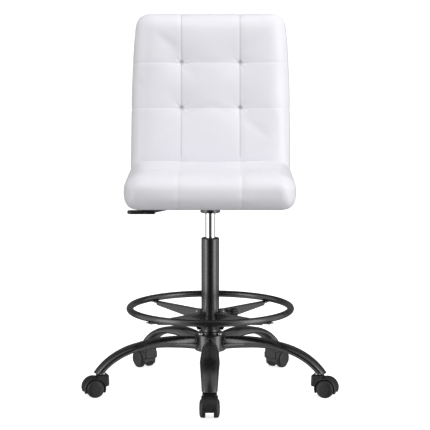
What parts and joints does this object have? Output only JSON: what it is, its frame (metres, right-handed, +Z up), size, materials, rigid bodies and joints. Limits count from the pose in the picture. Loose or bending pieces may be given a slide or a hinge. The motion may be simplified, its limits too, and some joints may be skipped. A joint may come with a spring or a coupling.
{
  "type": "drafting chair",
  "caption": "Armless drafting chair with tufted cushioned seat and back, gas lift, foot ring with clamp, and an arched star base on twin-wheel casters.",
  "frame": {"origin": "on the floor, on the axis of the column", "axes": "+Z up; the sitter faces -Y; +X is the side of the foot ring's knob, -X the side of the height lever"},
  "size_m": [0.713, 0.7286, 1.0439],
  "materials": {
    "black_steel": "satin powder coat",
    "chrome": "polished",
    "zinc": "bright zinc plate",
    "white_leather": "smooth satin",
    "black_nylon": "moulded matt",
    "wheel_nylon": "moulded matt",
    "black_grip": "fine texture",
    "plywood": "raw birch",
    "dust_fabric": "non-woven"
  },
  "bodies": {
    "base": {"base_hub": "black_steel", "hub_bolts": "zinc", "caster_sockets": "zinc", "column_tube": "black_steel", "column_bushing": "black_nylon", "thrust_bearing": "chrome", "base_arm_1": "black_steel", "base_arm_2": "black_steel", "base_arm_3": "black_steel", "base_arm_4": "black_steel", "base_arm_5": "black_steel"},
    "piston": {"piston_rod": "chrome", "retaining_clip": "zinc"},
    "seat": {"gas_cylinder": "chrome", "mechanism_housing": "black_steel", "mechanism_socket": "black_steel", "mechanism_bolts": "zinc", "t_nuts": "zinc", "lever_pivot": "zinc", "shell_board": "plywood", "seat_cushion": "white_leather", "back_cushion": "white_leather", "tuft_buttons": "white_leather", "rear_cover": "white_leather", "dust_cover": "dust_fabric"},
    "lever": {"lever_rod": "black_steel", "lever_grip": "black_grip"},
    "release_pin": {"release_pin": "zinc"},
    "foot_ring": {"foot_ring_tube": "black_steel", "ring_hub": "black_steel", "ring_spokes": "black_steel", "ring_fasteners": "zinc"},
    "ring_knob": {"ring_knob": "black_grip", "ring_clamp_screw": "zinc"},
    "caster_1": {"caster_1_hood": "black_nylon", "caster_1_stem": "zinc", "caster_1_axle": "zinc"},
    "caster_1_wheel_left": {"caster_1_wheel_left": "wheel_nylon"},
    "caster_1_wheel_right": {"caster_1_wheel_right": "wheel_nylon"},
    "caster_2": {"caster_2_hood": "black_nylon", "caster_2_stem": "zinc", "caster_2_axle": "zinc"},
    "caster_2_wheel_left": {"caster_2_wheel_left": "wheel_nylon"},
    "caster_2_wheel_right": {"caster_2_wheel_right": "wheel_nylon"},
    "caster_3": {"caster_3_hood": "black_nylon", "caster_3_stem": "zinc", "caster_3_axle": "zinc"},
    "caster_3_wheel_left": {"caster_3_wheel_left": "wheel_nylon"},
    "caster_3_wheel_right": {"caster_3_wheel_right": "wheel_nylon"},
    "caster_4": {"caster_4_hood": "black_nylon", "caster_4_stem": "zinc", "caster_4_axle": "zinc"},
    "caster_4_wheel_left": {"caster_4_wheel_left": "wheel_nylon"},
    "caster_4_wheel_right": {"caster_4_wheel_right": "wheel_nylon"},
    "caster_5": {"caster_5_hood": "black_nylon", "caster_5_stem": "zinc", "caster_5_axle": "zinc"},
    "caster_5_wheel_left": {"caster_5_wheel_left": "wheel_nylon"},
    "caster_5_wheel_right": {"caster_5_wheel_right": "wheel_nylon"}
  },
  "joints": [
    {"name": "seat_swivel", "type": "hinge", "parent": "base", "child": "piston", "pos_m": [0, 0, 0.3], "axis": [0, 0, 1], "continuous": true},
    {"name": "height_adjust", "type": "slide", "parent": "piston", "child": "seat", "axis": [0, 0, 1], "range_m": [-0.065, 0.135]},
    {"name": "lever_lift", "type": "hinge", "parent": "seat", "child": "lever", "pos_m": [-0.05, 0, 0.5215], "axis": [0, 1, 0], "range_deg": [0, 5], "stiffness_Nm_per_rad": 2, "springref_deg": -6.88},
    {"name": "pin_press", "type": "slide", "parent": "seat", "child": "release_pin", "axis": [0, 0, 1], "range_m": [-0.005, 0]},
    {"name": "ring_height", "type": "slide", "parent": "base", "child": "foot_ring", "axis": [0, 0, 1], "range_m": [0, 0.16]},
    {"name": "knob_turn", "type": "hinge", "parent": "foot_ring", "child": "ring_knob", "pos_m": [0.05638, 0.02052, 0.212], "axis": [0.9397, 0.342, 0], "range_deg": [0, 540]},
    {"name": "caster_1_swivel", "type": "hinge", "parent": "base", "child": "caster_1", "pos_m": [0, -0.3135, 0.07], "axis": [0, 0, 1], "continuous": true},
    {"name": "caster_1_wheel_left_roll", "type": "hinge", "parent": "caster_1", "child": "caster_1_wheel_left", "pos_m": [0, -0.3375, 0.025], "axis": [1, 0, 0], "continuous": true},
    {"name": "caster_1_wheel_right_roll", "type": "hinge", "parent": "caster_1", "child": "caster_1_wheel_right", "pos_m": [0, -0.3375, 0.025], "axis": [1, 0, 0], "continuous": true},
    {"name": "caster_2_swivel", "type": "hinge", "parent": "base", "child": "caster_2", "pos_m": [0.29816, -0.09688, 0.07], "axis": [0, 0, 1], "continuous": true},
    {"name": "caster_2_wheel_left_roll", "type": "hinge", "parent": "caster_2", "child": "caster_2_wheel_left", "pos_m": [0.32098, -0.10429, 0.025], "axis": [0.309, 0.9511, 0], "continuous": true},
    {"name": "caster_2_wheel_right_roll", "type": "hinge", "parent": "caster_2", "child": "caster_2_wheel_right", "pos_m": [0.32098, -0.10429, 0.025], "axis": [0.309, 0.9511, 0], "continuous": true},
    {"name": "caster_3_swivel", "type": "hinge", "parent": "base", "child": "caster_3", "pos_m": [0.18427, 0.25363, 0.07], "axis": [0, 0, 1], "continuous": true},
    {"name": "caster_3_wheel_left_roll", "type": "hinge", "parent": "caster_3", "child": "caster_3_wheel_left", "pos_m": [0.19838, 0.27304, 0.025], "axis": [-0.809, 0.5878, 0], "continuous": true},
    {"name": "caster_3_wheel_right_roll", "type": "hinge", "parent": "caster_3", "child": "caster_3_wheel_right", "pos_m": [0.19838, 0.27304, 0.025], "axis": [-0.809, 0.5878, 0], "continuous": true},
    {"name": "caster_4_swivel", "type": "hinge", "parent": "base", "child": "caster_4", "pos_m": [-0.18427, 0.25363, 0.07], "axis": [0, 0, 1], "continuous": true},
    {"name": "caster_4_wheel_left_roll", "type": "hinge", "parent": "caster_4", "child": "caster_4_wheel_left", "pos_m": [-0.19838, 0.27304, 0.025], "axis": [-0.809, -0.5878, 0], "continuous": true},
    {"name": "caster_4_wheel_right_roll", "type": "hinge", "parent": "caster_4", "child": "caster_4_wheel_right", "pos_m": [-0.19838, 0.27304, 0.025], "axis": [-0.809, -0.5878, 0], "continuous": true},
    {"name": "caster_5_swivel", "type": "hinge", "parent": "base", "child": "caster_5", "pos_m": [-0.29816, -0.09688, 0.07], "axis": [0, 0, 1], "continuous": true},
    {"name": "caster_5_wheel_left_roll", "type": "hinge", "parent": "caster_5", "child": "caster_5_wheel_left", "pos_m": [-0.32098, -0.10429, 0.025], "axis": [0.309, -0.9511, 0], "continuous": true},
    {"name": "caster_5_wheel_right_roll", "type": "hinge", "parent": "caster_5", "child": "caster_5_wheel_right", "pos_m": [-0.32098, -0.10429, 0.025], "axis": [0.309, -0.9511, 0], "continuous": true}
  ],
  "couplings": [
    {"joint": "pin_press", "follows": "lever_lift", "m_per_rad": -0.0535}
  ]
}
